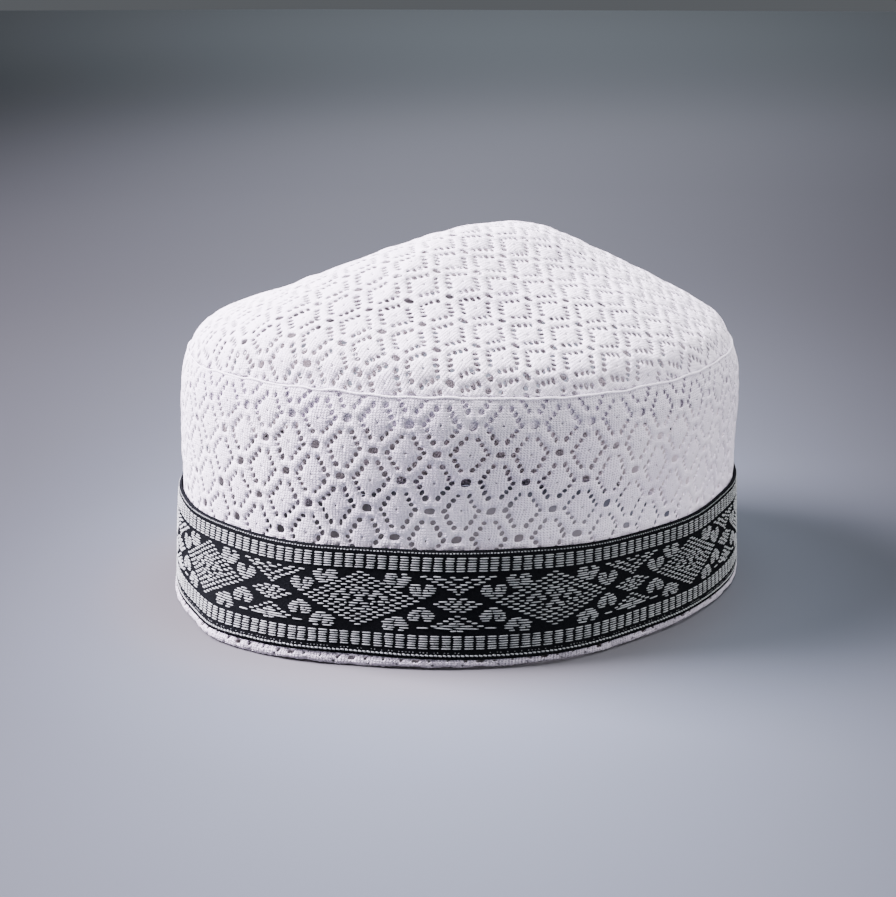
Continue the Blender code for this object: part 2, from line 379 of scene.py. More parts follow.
def add_node(tree, kind, inputs, **settings):
    """The outputs of a new node. Each input is given a value or joined to another node's output."""
    node = tree.nodes.new(kind)
    for name, value in settings.items():
        setattr(node, name, value)
    for name, value in dict(inputs).items():
        if isinstance(value, bpy.types.NodeSocket):
            tree.links.new(value, node.inputs[name])
        else:
            node.inputs[name].default_value = value
    return node.outputs


def run_tree(name, mesh, tree, values):
    """The tree's result on a mesh, as a plain mesh."""
    source = add_object(name, mesh)
    grow = source.modifiers.new("grow", "NODES")
    grow.node_group = tree
    for socket in tree.interface.items_tree:
        if socket.in_out == "INPUT" and socket.name in values:
            grow[socket.identifier] = values[socket.name]
    result = finished_mesh(source)
    bpy.data.objects.remove(source, do_unlink=True)
    return result


def repeat_tree(name, inputs, repeated, material, finish):
    """A tree that sets one thing at every point and ends as plain faces of one material."""
    inputs = {"Geometry": ("NodeSocketGeometry", None), repeated: ("NodeSocketObject", None), **inputs}
    inputs[material] = ("NodeSocketMaterial", None)
    tree, start, end = new_group("GeometryNodeTree", name, inputs, {"Geometry": "NodeSocketGeometry"})
    thing = add_node(tree, "GeometryNodeObjectInfo", {"Object": start[repeated]})
    placed = add_node(tree, "GeometryNodeInstanceOnPoints", {"Instance": thing["Geometry"]})
    plain = add_node(tree, "GeometryNodeRealizeInstances", {"Geometry": placed["Instances"]})
    faces = finish(tree, start, placed["Instances"].node.inputs, plain["Geometry"])
    faces = add_node(tree, "GeometryNodeSetMaterial", {"Geometry": faces, "Material": start[material]})
    tree.links.new(faces["Geometry"], end["Geometry"])
    return tree


def lace_tree():
    """One lace cell set at every point, numbered, and welded to its neighbours."""
    def finish(tree, start, placing, plain):
        number = add_node(tree, "GeometryNodeInputIndex", {})
        numbered = add_node(tree, "GeometryNodeStoreNamedAttribute", {
            "Geometry": start["Geometry"], "Name": "cell", "Value": number["Index"],
        }, data_type="INT", domain="POINT")
        tree.links.new(numbered["Geometry"], placing["Points"])
        welded = {"Geometry": plain, "Distance": start["Weld Distance"]}
        return add_node(tree, "GeometryNodeMergeByDistance", welded)["Geometry"]

    return repeat_tree("lace repeat", {"Weld Distance": ("NodeSocketFloat", 0.02)}, "Cell", "Cloth", finish)


def thread_tree():
    """One short raised thread set at every point, with the point's own length, width, lift and tilt."""
    def finish(tree, start, placing, plain):
        own = {
            name: add_node(tree, "GeometryNodeInputNamedAttribute", {"Name": name}, data_type="FLOAT")
            for name in ("length", "width", "lift", "tilt")
        }
        high = math_node(tree, "MULTIPLY", own["lift"]["Attribute"], start["Fullness"])
        size = {"X": own["length"]["Attribute"], "Y": own["width"]["Attribute"], "Z": high}
        turn = {"Z": own["tilt"]["Attribute"]}
        tree.links.new(start["Geometry"], placing["Points"])
        tree.links.new(add_node(tree, "ShaderNodeCombineXYZ", size)["Vector"], placing["Scale"])
        tree.links.new(add_node(tree, "ShaderNodeCombineXYZ", turn)["Vector"], placing["Rotation"])
        return plain

    return repeat_tree("woven threads", {"Fullness": ("NodeSocketFloat", 1.0)}, "Thread", "Yarn", finish)


def math_node(tree, operation, *values):
    """The output of one maths node. Each value is a number or another node's output."""
    return add_node(tree, "ShaderNodeMath", enumerate(values), operation=operation)["Value"]


def vector_node(tree, operation, *values, result="Vector"):
    return add_node(tree, "ShaderNodeVectorMath", enumerate(values), operation=operation)[result]


def noise(tree, place, scale, detail):
    """Fine noise over a piece, mostly near a half."""
    return add_node(tree, "ShaderNodeTexNoise", {"Vector": place, "Scale": scale, "Detail": detail})["Fac"]


def mix_tones(tree, amount, first, second):
    """A tone between two others. Each is a colour or another node's output."""
    first, second = (
        tone if isinstance(tone, bpy.types.NodeSocket) else (*tone, 1.0) for tone in (first, second)
    )
    inputs = {"Factor": amount, "A": first, "B": second}
    return add_node(tree, "ShaderNodeMix", inputs, data_type="RGBA")["Result"]


def even_waves(tree, along, pitch, lean=0.0):
    """Even waves a pitch apart, from -1 to 1."""
    turns = math_node(tree, "DIVIDE", along, pitch)
    return math_node(tree, "SINE", math_node(tree, "MULTIPLY_ADD", turns, 2 * math.pi, lean))


# Lace

# Lattice of the side band: 64 half cells round the cap
LATTICE_COLUMNS = 64
LATTICE_ROW = 7.97
LATTICE_SHEAR = 0.11
LATTICE_SHIFT = 0.48
LATTICE_LEVEL = 59.3
BAND_ROWS = range(-4, 3)
LACE_LOW = 30.5
LACE_HIGH = 74.1
FOOT_LOW = HEM_HEIGHT + 0.3
FOOT_WIDTH = 28.0
FOOT_DEPTH = 0.20

# Lattice of the crown on the flat cloth, measured from the apex
CROWN_CORNER = np.array((55.74, -83.42))
CROWN_STEP = np.array((6.81, 9.74))
CROWN_ROW = np.array((-9.79, 6.07))
CROWN_COLUMNS = range(-16, 12)
CROWN_ROWS = range(-14, 22)
CROWN_SPREAD = 1.12
CROWN_EDGE = 0.995

# Hem: how its fold runs, outward from the wall's outer face
HEM_LATTICE = 8.6
HEM_ROWS = range(-1, 3)
HEM_FULLNESS = 1.35
HEM_FLOOR = 3.2
HEM_LIFT = 0.30
HEM_LEAN = 0.20
HEM_LIFT_MOST = 0.8
HEM_MIDDLE = -0.8
HEM_TURN_STEPS = 12
HEM_TURN_HEIGHT = 1.05
HEM_TURN_MIDDLE = -0.78
HEM_TURN_REACH = 1.03
HemStep = namedtuple("HemStep", "height outward")
HEM_INNER_LEG = (HemStep(5.0, -1.30), HemStep(2.9, -1.35), HemStep(2.1, -1.70))
HEM_OUTER_LEG = (HemStep(2.1, 0.28), HemStep(2.9, 0.30), HemStep(5.0, 0.26))

# Eyelets of one lace cell, as parts of its two sides; each is mirrored on both diagonals
Eyelet = namedtuple("Eyelet", "a b")
EYELETS = (
    Eyelet(0.28, 0.28),
    Eyelet(0.314, 0.130),
    Eyelet(0.347, -0.026),
    Eyelet(0.372, -0.185),
)
EYELET_RADIUS = 0.78
EYELET_CORNERS = 8
EYELET_CLEARANCE = 0.34
EYELET_LARGEST = 1.14
BAND_EYELET_DEPTH = 1.04
CROWN_EYELET_DEPTH = 1.30
HEM_EYELET_DEPTH = 1.0
PINHOLE_RADIUS = 0.38
PINHOLE_CORNERS = 6
CROSSING_LONG = 1.45
CROSSING_SHORT = 1.12
CROSSING_SQUARENESS = 2.6
CROSSING_CLEARANCE = 1.75
CORNER_PARTS = (0.0, 0.25, 0.5, 0.75, 1.0)
SIDE_STEPS = 6
LOOSE_PARTS = np.arange(-0.45, 0.46, 0.1)

# What is left out of a cell: slivers, and faces whose middle lies in a hole
SLIVER_AREA = 0.02
RING_INSIDE = 0.97
CROSSING_INSIDE = 0.999
ON_RING = 0.001

# Raised leaf in the middle of a cell and raised strips along its sides
LEAF_REACH = 0.27
LEAF_PUFF = 0.26
STRIP_REACH = 0.075
STRIP_PUFF = 0.14
LACE_SINK = 0.15
EDGE_FLATNESS = 0.25

# How much eyelets differ from each other, and how many of them a cell may have
Variety = namedtuple("Variety", "spread least most")
EYELET_OPENING = Variety(0.08, 0.80, 1.12)
EYELET_STRETCH = Variety(0.06, 0.88, 1.13)
EYELET_WANDER = Variety(0.06, -0.1, 0.1)
EYELETS_A_CELL = 20
BAND_SEED = 11
CROWN_SEED = 12
HEM_SEED = 13

BAND_OVAL = Oval(*wall_size(LATTICE_LEVEL))
RIBBON_OVAL = Oval(94.5, 84.7)
SEAM_OVAL = Oval(SEAM_HALF_LENGTH, SEAM_HALF_WIDTH)
FLAT_CROWN = FlatCrown()

Ring = namedtuple("Ring", "middle radius along depth corners")


def ring_away(ring, place):
    """How far a place is from a ring's middle, where the ring itself is at its radius all round."""
    away = place - ring.middle
    across = np.array((-ring.along[1], ring.along[0]))
    return math.hypot(away @ ring.along, away @ across / ring.depth)


def unit(way):
    return way / np.linalg.norm(way)


def cell_outline(corners, ways, crossing_radius):
    """A cell's edge: a quarter of the hole at each corner, and the four sides between them."""
    outline = []
    for index, corner in enumerate(corners):
        back, ahead = -ways[index - 1], ways[index]
        for part in CORNER_PARTS:
            way = unit(back * (1 - part) + ahead * part)
            outline.append(corner + way * crossing_radius(way))
        leave = corner + ahead * crossing_radius(ahead)
        arrive = corners[(index + 1) % 4] - ahead * crossing_radius(-ahead)
        for part in np.arange(1, SIDE_STEPS) / SIDE_STEPS:
            outline.append(leave * (1 - part) + arrive * part)
    return outline


def cell_rings(side_a, side_b, eyelet_depth, fullness):
    """The pinhole in the middle of a cell and the eyelets round it."""
    rings = [Ring(np.zeros(2), PINHOLE_RADIUS, unit(side_a + side_b), 1.0, PINHOLE_CORNERS)]
    for eyelet in EYELETS:
        for a, b in sorted({eyelet, eyelet[::-1], (-eyelet.b, -eyelet.a), (-eyelet.a, -eyelet.b)}):
            along = unit(side_b) if abs(a) > abs(b) else unit(side_a)
            depth = eyelet_depth if abs(a) != abs(b) else 1.0
            middle = a * side_a + b * side_b
            rings.append(Ring(middle, EYELET_RADIUS / fullness, along, depth, EYELET_CORNERS))
    return rings


def cell_net(outline, rings, corners, side_a, side_b):
    """Triangles that join a cell's edge, its rings and loose points between them."""
    points = list(outline)
    edges = [(i, (i + 1) % len(outline)) for i in range(len(outline))]
    for ring in rings:
        first = len(points)
        across = np.array((-ring.along[1], ring.along[0])) * ring.depth
        for step in range(ring.corners):
            turn = 2 * math.pi * (step + 0.5) / ring.corners
            away = math.cos(turn) * ring.along + math.sin(turn) * across
            points.append(ring.middle + ring.radius * away)
            edges.append((first + step, first + (step + 1) % ring.corners))
    for a in LOOSE_PARTS:
        for b in LOOSE_PARTS:
            place = a * side_a + b * side_b
            clear = all(ring_away(ring, place) > ring.radius + EYELET_CLEARANCE for ring in rings)
            if clear and all(np.linalg.norm(place - corner) > CROSSING_CLEARANCE for corner in corners):
                points.append(place)
    vertices, _, faces, _, _, _ = delaunay_2d_cdt([Vector(p) for p in points], edges, [], 0, 0.00001)
    return np.array([tuple(v) for v in vertices]), faces


def lace_cell(name, side_a, side_b, eyelet_depth, fullness=1.0):
    """One flat cell of the lace: two sides, a quarter of the crossing hole at each corner and 14 eyelets."""
    side_a, side_b = np.array(side_a), np.array(side_b)

    def crossing_radius(way):
        long_part = (abs(way @ unit(side_a + side_b)) / CROSSING_LONG) ** CROSSING_SQUARENESS
        short_part = (abs(way @ unit(side_a - side_b)) / CROSSING_SHORT) ** CROSSING_SQUARENESS
        return (long_part + short_part) ** (-1 / CROSSING_SQUARENESS) / fullness

    corners = [a * side_a + b * side_b for a, b in ((0.5, 0.5), (-0.5, 0.5), (-0.5, -0.5), (0.5, -0.5))]
    ways = [unit(way) for way in (-side_a, -side_b, side_a, side_b)]
    rings = cell_rings(side_a, side_b, eyelet_depth, fullness)
    outline = cell_outline(corners, ways, crossing_radius)
    vertices, faces = cell_net(outline, rings, corners, side_a, side_b)

    def is_cloth(face):
        first, second, third = vertices[list(face)]
        place = vertices[list(face)].mean(axis=0)
        if abs(np.cross(second - first, third - first)) <= 2 * SLIVER_AREA:
            return False
        if any(ring_away(ring, place) < ring.radius * RING_INSIDE for ring in rings):
            return False
        return all(
            np.linalg.norm(place - corner) >= crossing_radius(unit(place - corner)) * CROSSING_INSIDE
            for corner in corners
        )

    faces = [face for face in faces if is_cloth(face)]
    used = sorted({index for face in faces for index in face})
    renumber = {old: new for new, old in enumerate(used)}
    vertices = vertices[used]
    mesh = bpy.data.meshes.new(name)
    flat = [(x, y, 0.0) for x, y in vertices]
    mesh.from_pydata(flat, [], [[renumber[index] for index in face] for face in faces])
    holes = np.zeros(len(vertices), dtype=np.int32)
    middles = np.zeros((len(vertices), 3))
    relief = np.zeros(len(vertices))
    unmix = np.linalg.inv(np.stack([side_a, side_b], axis=1))
    for index, place in enumerate(vertices):
        for number, ring in enumerate(rings):
            if abs(ring_away(ring, place) - ring.radius) < ON_RING:
                holes[index] = number + 1
                middles[index, :2] = ring.middle
        furthest = np.abs(unmix @ place).max()
        leaf = max(0.0, 1 - (furthest / LEAF_REACH) ** 2)
        strip = math.exp(-(((0.5 - furthest) / STRIP_REACH) ** 2))
        relief[index] = LEAF_PUFF * leaf + STRIP_PUFF * strip
    for label, kind, key, values in (
        ("hole", "INT", "value", holes),
        ("hole_middle", "FLOAT_VECTOR", "vector", middles),
        ("relief", "FLOAT", "value", relief),
    ):
        mesh.attributes.new(label, kind, "POINT").data.foreach_set(key, values.ravel())
    return add_object(name, mesh)


def grow_lace(name, centres, cell, seed):
    """Flat lace with a cell at every centre: places, faces and relief, with uneven eyelets."""
    mesh = bpy.data.meshes.new(name)
    mesh.from_pydata([(x, y, 0.0) for x, y in centres], [], [])
    grown = run_tree(name, mesh, LACE_TREE, {"Cell": cell, "Weld Distance": 0.03, "Cloth": WHITE_LACE})

    def read(label, key="value", width=1):
        values = np.empty(len(grown.vertices) * width)
        grown.attributes[label].data.foreach_get(key, values)
        return values.reshape(-1, width)[:, :2]

    points = read("position", "vector", 3)
    cells = np.rint(read("cell")[:, 0]).astype(int)
    holes = np.rint(read("hole")[:, 0]).astype(int)
    middles = read("hole_middle", "vector", 3)
    faces = np.empty(len(grown.polygons) * 3, dtype=np.int32)
    grown.polygons.foreach_get("vertices", faces)
    chance = np.random.default_rng(seed)
    shape = (len(centres), EYELETS_A_CELL)

    def vary(level, variety, size=shape):
        return chance.normal(level, variety.spread, size).clip(variety.least, variety.most)

    openness = vary(1.0, EYELET_OPENING)
    stretch = vary(1.0, EYELET_STRETCH)
    wander = vary(0.0, EYELET_WANDER, (*shape, 2))
    in_ring = holes > 0
    own = cells[in_ring], holes[in_ring]
    centre = np.asarray(centres)[own[0]] + middles[in_ring]
    away = points[in_ring] - centre
    opened = np.stack([openness[own] * stretch[own], openness[own] / stretch[own]], axis=1)
    points[in_ring] = centre + wander[own] + away * np.minimum(opened, EYELET_LARGEST)
    return points, faces.reshape(-1, 3), read("relief")[:, 0]


def cut_lace(name, sides, centres, seed, inside, eyelet_depth, fullness=1.0):
    """Flat lace grown from one cell, without the faces that lie wholly outside its piece."""
    cell = lace_cell(name + "_cell", *sides, eyelet_depth, fullness)
    flat, faces, relief = grow_lace(name, centres, cell, seed)
    bpy.data.objects.remove(cell, do_unlink=True)
    faces = faces[inside(flat)[faces].any(axis=1)]
    used = np.unique(faces)
    renumber = np.full(len(flat), -1)
    renumber[used] = np.arange(len(used))
    return flat[used], renumber[faces], relief[used]


def lattice_centres(pitch, rows, shift, level):
    """Centres of the lace cells in rows round the cap."""
    return [
        ((2 * column + 1 + shift + row % 2) * pitch, level + row * LATTICE_ROW)
        for row in rows for column in range(LATTICE_COLUMNS // 2)
    ]


def lace_outward(relief, inner, rough, pucker):
    """How far lace stands out: its relief, flatter near its edge, and its pucker."""
    return relief * (EDGE_FLATNESS + (1 - EDGE_FLATNESS) * inner) - LACE_SINK + unevenness(rough, pucker)


def make_band_lace():
    """The pierced upper part of the side band, from behind the ribbon up to the seam."""
    edge_width = 3.0
    pitch = BAND_OVAL.girth / LATTICE_COLUMNS
    flat, faces, relief = cut_lace(
        "side_band_lace", ((pitch, LATTICE_ROW), (pitch, -LATTICE_ROW)),
        lattice_centres(pitch, BAND_ROWS, LATTICE_SHIFT, LATTICE_LEVEL), BAND_SEED,
        lambda flat: (flat[:, 1] > LACE_LOW) & (flat[:, 1] < LACE_HIGH), BAND_EYELET_DEPTH,
    )
    flat[:, 1] = flat[:, 1].clip(LACE_LOW, LACE_HIGH)

    def drape(along, height, outward):
        slid = along + LATTICE_SHEAR * (height - LATTICE_LEVEL)
        return wall_place(BAND_OVAL.angle(slid), height, outward)

    rough = drape(flat[:, 0], flat[:, 1], 0.0)
    inner = np.clip(np.minimum(flat[:, 1] - LACE_LOW, LACE_HIGH - flat[:, 1]) / edge_width, 0, 1)
    along = flat[:, 0] + unevenness(rough, BAND_DRIFT[0])
    height = flat[:, 1] + unevenness(rough, BAND_DRIFT[1]) * inner
    points = loosen(drape(along, height, lace_outward(relief, inner, rough, BAND_PUCKER)))
    return make_object("side_band_lace", points, faces, flat[faces.ravel()], BAND_LACE)


def make_band_foot():
    """The plain lower part of the side band, behind the ribbon."""
    def place(turn, part):
        height = FOOT_LOW + part * (LACE_LOW - FOOT_LOW)
        return loosen(wall_place(BAND_OVAL.angle(turn * BAND_OVAL.girth), height, -FOOT_DEPTH))

    size = (BAND_OVAL.girth, FOOT_WIDTH)
    return ring_mesh("side_band_foot", 256, 6, place, material=BAND_LACE, size=size)


def make_crown_lace():
    """The pierced crown, laid over its dome and cut off at the seam."""
    edge_part, step = 0.04, 0.4
    centres = []
    for column in CROWN_COLUMNS:
        for row in CROWN_ROWS:
            centre = CROWN_CORNER + (column + 0.5) * CROWN_STEP + (row + 0.5) * CROWN_ROW
            if FLAT_CROWN.where(centre[None, :])[1][0] < CROWN_SPREAD:
                centres.append(tuple(centre))
    flat, faces, relief = cut_lace(
        "crown_lace", (CROWN_STEP, -CROWN_ROW), centres, CROWN_SEED,
        lambda flat: FLAT_CROWN.where(flat)[1] < CROWN_EDGE, CROWN_EYELET_DEPTH,
    )
    part = FLAT_CROWN.where(flat)[1]
    flat *= np.minimum(1.0, CROWN_EDGE / np.maximum(part, 0.01))[:, None]
    rough = FLAT_CROWN.place(flat)
    inner = np.clip((CROWN_EDGE - part) / edge_part, 0, 1)
    moved = flat + np.stack([unevenness(rough, ripple) * inner for ripple in CROWN_DRIFT], axis=1)
    tangents = [
        FLAT_CROWN.place(moved + side) - FLAT_CROWN.place(moved - side)
        for side in (np.array((step, 0.0)), np.array((0.0, step)))
    ]
    normal = np.cross(*tangents)
    normal /= np.linalg.norm(normal, axis=1)[:, None]
    outward = lace_outward(relief, inner, rough, CROWN_PUCKER)
    points = loosen(FLAT_CROWN.place(moved) + normal * outward[:, None])
    return make_object("crown_lace", points, faces, flat[faces.ravel()], WHITE_LACE)

# The crown's turned edge: how far its cloth runs, how much of that stands upright, and where it lies
TURNED_DEPTH = 10.2
TURNED_DROP = 7.8
TURNED_TOP = SEAM_HEIGHT - 0.9
TURNED_GAP = 0.36
TURNED_PUFF = 0.10
TURNED_THICKNESS = 0.7
TURNED_FALL = 0.6
TURNED_LEAN = 0.8


def make_turned_edge():
    """The crown's cloth turned down inside the band, close behind its top rows of eyelets."""
    def place(turn, part):
        path = TURNED_DEPTH * part
        up = np.minimum(path, TURNED_DROP)
        under = np.maximum(path - TURNED_DROP, 0.0)
        height = TURNED_TOP - TURNED_DROP + up + TURNED_FALL * under
        puff = TURNED_PUFF * np.sin(part * np.pi)
        outward = -LACE_THICKNESS - TURNED_GAP + puff - TURNED_LEAN * under
        return loosen(wall_place(BAND_OVAL.angle(turn * BAND_OVAL.girth), height, outward))

    size = (BAND_OVAL.girth, TURNED_DEPTH)
    edge = ring_mesh("turned_edge", 384, 12, place, material=WHITE_LACE, size=size)
    return thicken(edge, TURNED_THICKNESS)


# The rolled seam is thinnest and most sunk away from its fullest place
SEAM_RADIUS = 0.36
SEAM_STITCH = 0.03
SEAM_STITCH_PITCH = 1.9
SEAM_FULLNESS = 0.74
SEAM_FULLEST = 1.3
SEAM_SUNK = 0.05
SEAM_SUNK_MORE = 0.30
SEAM_LIFT = 0.05
SEAM_WRAP = 2.4
SEAM_LAP = 87.0


def make_rolled_seam():
    """The thin rolled seam between band and crown, a little uneven along its length."""
    def place(turn, part):
        along = turn * SEAM_OVAL.girth
        angle = SEAM_OVAL.angle(along)
        lap = np.stack([np.cos(2 * np.pi * turn), np.sin(2 * np.pi * turn), 0 * turn], axis=1) * SEAM_LAP
        stitches = SEAM_STITCH * np.cos(2 * np.pi * along / SEAM_STITCH_PITCH)
        fullness = SEAM_FULLNESS + (1 - SEAM_FULLNESS) * np.cos(angle - SEAM_FULLEST)
        radius = (SEAM_RADIUS + unevenness(lap, SEAM_SWELL) + stitches) * fullness
        out = radius * np.cos(2 * np.pi * part) - SEAM_SUNK - SEAM_SUNK_MORE * (1 - fullness)
        up = radius * np.sin(2 * np.pi * part) + SEAM_LIFT + unevenness(lap, SEAM_WANDER)
        return loosen(np.stack([
            (SEAM_HALF_WIDTH + out) * np.sin(angle),
            -(SEAM_HALF_LENGTH + out) * np.cos(angle),
            SEAM_HEIGHT + up + wave(angle, SEAM_HEIGHT),
        ], axis=1))

    size = (SEAM_OVAL.girth, SEAM_WRAP)
    return ring_mesh("rolled_seam", 1080, 8, place, closed_rows=True, material=WHITE_SEAM, size=size)


def hem_path():
    """The hem's fold from the top of its inner leg, round under the wall and up its outer leg."""
    under = []
    for step in range(HEM_TURN_STEPS + 1):
        turn = math.pi * step / HEM_TURN_STEPS
        height = HEM_TURN_HEIGHT - HEM_TURN_HEIGHT * math.sin(turn)
        under.append(HemStep(height, HEM_TURN_MIDDLE - HEM_TURN_REACH * math.cos(turn)))
    return [*HEM_INNER_LEG, *under, *HEM_OUTER_LEG]


HEM_PATH = hem_path()
HEM_STOPS = np.cumsum([0.0] + [math.dist(step, after) for step, after in zip(HEM_PATH, HEM_PATH[1:])])
HEM_LENGTH = HEM_STOPS[-1]


def make_hem():
    """The folded hem: a strip of the same lace, laid up inside and outside the foot of the wall."""
    pitch = RIBBON_OVAL.girth / LATTICE_COLUMNS
    flat, faces, relief = cut_lace(
        "hem_fold", ((pitch, LATTICE_ROW), (pitch, -LATTICE_ROW)),
        lattice_centres(pitch, HEM_ROWS, 0, HEM_LATTICE), HEM_SEED,
        lambda flat: (flat[:, 1] > 0) & (flat[:, 1] < HEM_LENGTH), HEM_EYELET_DEPTH, HEM_FULLNESS,
    )
    flat[:, 1] = flat[:, 1].clip(0, HEM_LENGTH)
    heights, outward = (np.interp(flat[:, 1], HEM_STOPS, column) for column in zip(*HEM_PATH))
    angle = RIBBON_OVAL.angle(flat[:, 0])
    lap = wall_place(angle, 0.0)
    low = np.clip((HEM_FLOOR - heights) / HEM_FLOOR, 0, 1)
    lift = HEM_LIFT + HEM_LEAN * np.sin(angle) + sum(unevenness(lap, ripple) for ripple in HEM_RISE)
    heights = heights + lift.clip(0, HEM_LIFT_MOST) * low
    swell = np.sign(outward - HEM_MIDDLE) * (relief + unevenness(lap, HEM_PUCKER)) * low
    points = loosen(wall_place(angle, heights, outward + swell))
    return make_object("hem_fold", points, faces, flat[faces.ravel()], SHADED_HEM_LACE)


# Ribbon

RIBBON_FACE = 1.15
RIBBON_THICKNESS = 0.7
RIBBON_RISE = 0.8
RIBBON_RISE_PLACE = 0.28
RIBBON_RISE_WIDTH = 0.16
RIBBON_JOIN = 3.0
Ridge = namedtuple("Ridge", "height place reach")
RIBBON_RIDGES = (Ridge(-0.25, 0.0, 0.5), Ridge(0.10, 1.2, 0.4))

# Pattern of raised threads: sizes, and depths down from the ribbon's top edge
FLOAT_ROW = 0.68
FLOAT_WIDTH = 0.36
FLOAT_LIFT = 0.24
FLOAT_CLEARANCE = 0.02
FLOAT_SHORTEST = 0.7
FLOAT_LONGEST = 3.3
FLOAT_PARTING = 0.08
FLOAT_SHADES = (0.62, 1.0)
PATTERN_REPEAT = 54.0
HOURGLASS_DEPTH = 14.7
LADDER_PITCH = 3.1
LADDER_WIDTH = 2.4
LADDER_TOPS = (2.22, 23.8)
LADDER_ROWS = 6
LADDER_ROW = 0.67
LOZENGE_PLACE = 36.5
LOZENGE_DEPTH = 14.25
LOZENGE_ROW = 0.725
LOZENGE_TIPS = (10, 8, 6, 4, 2, 0)
LOZENGE_STEP = 1.568
LOZENGE_DASH = 1.85
LOZENGE_GAP = 0.45
SHORTEST_DASH = 0.8

# How far threads stray from their rule, and where a long one is parted
Stray = namedtuple("Stray", "along depth length tilt")
FLOAT_STRAY = Stray(0.06, 0.045, 0.10, 0.02)
LADDER_STRAY = Stray(0.06, 0.025, 0.12, 0.015)
ROW_TILT = 0.015
LADDER_DRIFT = 0.05
PARTED_AT = (0.38, 0.62)
PATTERN_SEED = 71
EDGING_SEED = 72

Span = namedtuple("Span", "row start end")


def motif(rows):
    """The dashes of a motif, from where each starts and ends in its row."""
    return [Span(row, *ends[i:i + 2]) for row, ends in rows.items() for i in range(0, len(ends), 2)]


# Each row is counted down from the motif's middle, and its dashes run between places along the ribbon
LEAF = motif({
    -2.5: (-3.1, -0.3, 0.9, 2.6),
    -1.5: (-3.6, 0.0, 1.2, 3.8),
    -0.5: (-3.3, 3.8),
    0.5: (-3.9, 3.2),
    1.5: (-2.9, 2.8),
    2.5: (-1.0, 2.0),
})
HEART = motif({
    -2.5: (-2.9, -0.8, 0.7, 3.3),
    -1.5: (-3.5, -0.4, 0.4, 3.7),
    -0.5: (-3.7, -0.3, 0.3, 3.6),
    0.5: (-3.3, 3.4),
    1.5: (-2.5, 2.6),
    2.5: (-1.1, 1.2),
})
HOURGLASS = motif({
    -11: (-10.6, -8.7, -7.0, -5.0, -2.5, -1.0, 1.1, 2.6, 5.1, 7.1, 8.3, 10.4),
    -10: (-9.0, -7.2, -6.6, -3.4, -1.7, 1.2, 3.3, 6.1, 7.2, 8.7),
    -9: (-7.6, -5.6, -3.7, -1.8, 1.7, 3.4, 5.4, 7.4),
    -8: (-5.8, -4.0, -2.6, -0.8, 0.5, 2.4, 4.2, 5.8),
    -7: (-4.5, -2.6, -0.9, 0.9, 2.4, 4.2),
    -6: (-3.1, -0.4, 0.6, 2.8),
    -5: (-1.5, -0.3, 0.4, 1.6),
    -4: (-0.6, 0.6),
    -2: (-2.7, -0.5, 0.4, 2.7),
    -1: (-5.2, -3.0, -2.3, -0.9, -0.4, 1.3, 2.3, 4.6),
    0: (-6.7, -4.8, -3.5, -1.9, -1.2, 1.1, 1.9, 3.3, 4.7, 6.8),
    1: (-5.4, -2.6, -1.9, 0.2, 0.6, 2.1, 3.0, 5.4),
    2: (-3.8, -1.7, -1.0, 1.1, 1.8, 3.9),
    3: (-2.2, -0.2, 0.4, 2.3),
    5: (-0.7, 0.9),
    6: (-2.3, -0.8, 0.9, 2.6),
    7: (-3.7, -2.3, -1.0, 1.0, 2.5, 3.9),
    8: (-5.4, -3.8, -2.2, 2.1, 3.9, 5.6),
    9: (-7.0, -5.4, -4.6, 4.3, 5.4, 7.2),
    10: (-10.6, -7.6, -6.2, 6.0, 7.6, 10.8),
    11: (-1.8, 1.8),
})
LOZENGE_EYE = motif({
    -1: (-1.6, 1.4),
    0: (-2.8, -0.3, 0.2, 2.7),
    1: (-2.9, -1.0, 0.9, 2.9),
    2: (-1.6, 1.7),
})
EyePlace = namedtuple("EyePlace", "along row")
LOZENGE_EYE_PLACES = (EyePlace(0.0, -3), EyePlace(0.0, 2), EyePlace(-5.4, -1), EyePlace(5.3, -1))

# Each motif beside a lozenge: how far along from its middle, how far up or down, and a shift down
Beside = namedtuple("Beside", "motif along up_down shift turned")
BESIDE_LOZENGE = (Beside(LEAF, 10.3, 6.0, 0.0, 1), Beside(HEART, 17.3, 3.15, -0.1, -1))

# Fine lines of stitches along the ribbon's edges, with how much each stitch strays
EdgeLine = namedtuple(
    "EdgeLine", "pitch start depth stray length width lift tilt twist faint bright missing"
)
EDGE_LINES = (
    EdgeLine(0.95, 0.5, 0.87, 0.03, 0.60, 0.30, 0.16, 0.05, 0.06, 0.45, 0.85, 0.0),
    EdgeLine(1.22, 0.5, 29.15, 0.03, 1.05, 0.50, 0.30, 0.22, 0.06, 0.75, 1.0, 0.0),
    EdgeLine(0.95, 0.2, 28.35, 0.04, 0.35, 0.26, 0.14, 0.10, 0.10, 0.25, 0.5, 0.4),
)


def ribbon_drape(along, depth, outward):
    """Points on the ribbon for places along it, down from its top edge, and out from its face."""
    angle = RIBBON_OVAL.angle(along)
    near = np.exp(-((np.sin((angle - RIBBON_RISE_PLACE) / 2) / RIBBON_RISE_WIDTH) ** 2))
    height = RIBBON_TOP - depth + RIBBON_RISE * near * (depth / RIBBON_TOP) ** 2
    pucker = unevenness(wall_place(angle, height), RIBBON_PUCKER)
    return loosen(wall_place(angle, height, RIBBON_FACE + pucker + outward))


